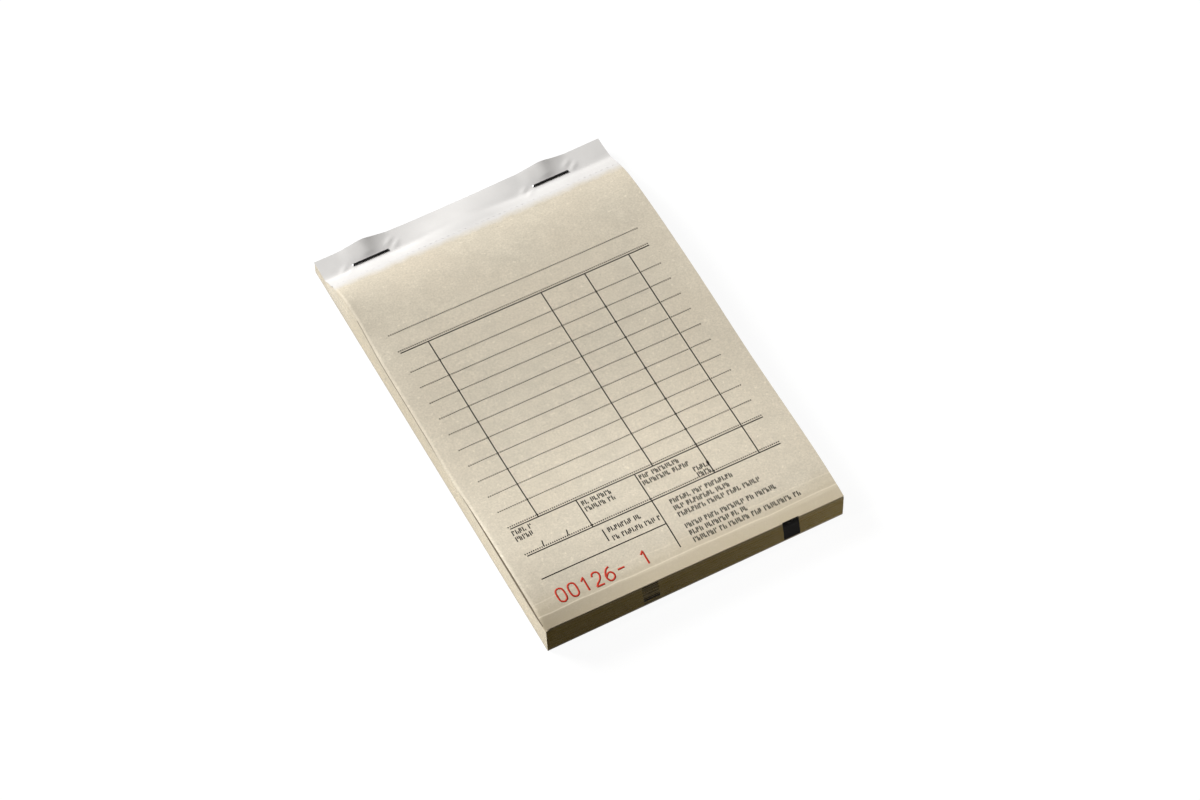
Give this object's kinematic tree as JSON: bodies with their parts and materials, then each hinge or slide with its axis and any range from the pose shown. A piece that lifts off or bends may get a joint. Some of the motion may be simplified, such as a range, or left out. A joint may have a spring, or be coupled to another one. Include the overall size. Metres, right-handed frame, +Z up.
{
  "type": "duplicate receipt book",
  "caption": "Stapled pad of ruled receipt sheets in original-and-copy pairs on a back card, with a white head strip, a slip-in carbon sheet and leaves that lift at the tear line.",
  "frame": {"origin": "middle of the underside, on the surface that the pad lies on", "axes": "+X to the right of the printed form, +Y from the open foot to the stapled head, +Z up out of the top leaf"},
  "size_m": [0.1, 0.154, 0.0111],
  "materials": {
    "receipt_paper": "uncoated, matt, cream",
    "strip_paper": "smooth white",
    "carbon_paper": "waxy, blue-black",
    "back_card": "matt grey-cream card",
    "staple_wire": "drawn steel wire"
  },
  "bodies": {
    "root": {"backing_board": "back_card", "copy_stub_01": "receipt_paper", "head_strip": "strip_paper", "original_stub_01": "receipt_paper", "receipt_set_02": "receipt_paper", "receipt_set_03": "receipt_paper", "receipt_set_04": "receipt_paper", "receipt_set_05": "receipt_paper", "receipt_set_06": "receipt_paper", "receipt_set_07": "receipt_paper", "receipt_set_08": "receipt_paper", "receipt_set_09": "receipt_paper", "receipt_set_10": "receipt_paper", "receipt_set_11": "receipt_paper", "receipt_set_12": "receipt_paper", "receipt_set_13": "receipt_paper", "receipt_set_14": "receipt_paper", "receipt_set_15": "receipt_paper", "receipt_set_16": "receipt_paper", "receipt_set_17": "receipt_paper", "receipt_set_18": "receipt_paper", "receipt_set_19": "receipt_paper", "receipt_set_20": "receipt_paper", "receipt_set_21": "receipt_paper", "receipt_set_22": "receipt_paper", "receipt_set_23": "receipt_paper", "receipt_set_24": "receipt_paper", "receipt_set_25": "receipt_paper", "receipt_set_26": "receipt_paper", "receipt_set_27": "receipt_paper", "receipt_set_28": "receipt_paper", "receipt_set_29": "receipt_paper", "receipt_set_30": "receipt_paper", "receipt_set_31": "receipt_paper", "receipt_set_32": "receipt_paper", "receipt_set_33": "receipt_paper", "receipt_set_34": "receipt_paper", "receipt_set_35": "receipt_paper", "receipt_set_36": "receipt_paper", "receipt_set_37": "receipt_paper", "receipt_set_38": "receipt_paper", "receipt_set_39": "receipt_paper", "receipt_set_40": "receipt_paper", "receipt_set_41": "receipt_paper", "receipt_set_42": "receipt_paper", "receipt_set_43": "receipt_paper", "receipt_set_44": "receipt_paper", "receipt_set_45": "receipt_paper", "receipt_set_46": "receipt_paper", "receipt_set_47": "receipt_paper", "receipt_set_48": "receipt_paper", "receipt_set_49": "receipt_paper", "receipt_set_50": "receipt_paper", "staple_left": "staple_wire", "staple_right": "staple_wire"},
    "copy_leaf": {"copy_leaf_01": "receipt_paper"},
    "original_leaf": {"original_leaf_01": "receipt_paper"},
    "carbon": {"carbon_sheet": "carbon_paper"}
  },
  "joints": [
    {"name": "copy_lift", "type": "hinge", "parent": "root", "child": "copy_leaf", "pos_m": [0, 0.0647, 0.00809], "axis": [-1, 0, 0], "range_deg": [0, 80]},
    {"name": "original_lift", "type": "hinge", "parent": "copy_leaf", "child": "original_leaf", "pos_m": [0, 0.0647, 0.00809], "axis": [-1, 0, 0], "range_deg": [0, 85]},
    {"name": "carbon_slide", "type": "slide", "parent": "copy_leaf", "child": "carbon", "axis": [0, -1, 0], "range_m": [0, 0.11]}
  ]
}
